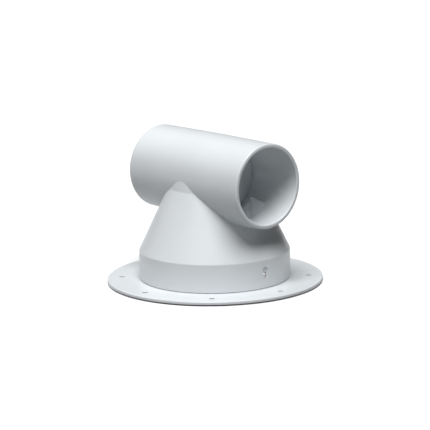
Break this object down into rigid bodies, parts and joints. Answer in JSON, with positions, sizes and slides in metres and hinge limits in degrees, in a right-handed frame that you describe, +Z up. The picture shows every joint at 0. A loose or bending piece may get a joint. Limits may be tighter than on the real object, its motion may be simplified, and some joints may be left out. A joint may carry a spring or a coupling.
{
  "type": "cowl vent",
  "caption": "Deck ventilator: an open cross tube on a conical cowl that turns and locks on a flanged deck ring over an insect screen.",
  "frame": {"origin": "centre of the bedding gasket's underside, on the deck surface", "axes": "+Z up along the turning axis; the cross tube lies along X, with the front mouth at +X"},
  "size_m": [0.165, 0.165, 0.1144],
  "materials": {
    "cowl_plastic": "glossy white moulding",
    "ring_plastic": "glossy white moulding",
    "screen_plastic": "satin pale grey moulding",
    "seal_rubber": "smooth black rubber",
    "foam": "closed-cell foam",
    "bush_brass": "turned brass",
    "screw_steel": "stainless steel"
  },
  "bodies": {
    "deck": {"bedding_gasket": "foam", "deck_ring": "ring_plastic", "insect_screen": "screen_plastic", "screen_retainer": "ring_plastic", "seal_ring": "seal_rubber"},
    "cowl": {"cowl_body": "cowl_plastic", "cross_tube": "cowl_plastic", "baffle_cup_front": "cowl_plastic", "baffle_cup_rear": "cowl_plastic", "screw_bush_front": "bush_brass", "screw_bush_rear": "bush_brass"},
    "lock_front": {"lock_screw_front": "screw_steel"},
    "lock_rear": {"lock_screw_rear": "screw_steel"}
  },
  "joints": [
    {"name": "cowl_turn", "type": "hinge", "parent": "deck", "child": "cowl", "pos_m": [0, 0, 0], "axis": [0, 0, 1], "continuous": true},
    {"name": "lock_screw_front_travel", "type": "slide", "parent": "cowl", "child": "lock_front", "axis": [1, 0, 0], "range_m": [0, 0.0025]},
    {"name": "lock_screw_rear_travel", "type": "slide", "parent": "cowl", "child": "lock_rear", "axis": [-1, 0, 0], "range_m": [0, 0.0025]}
  ]
}
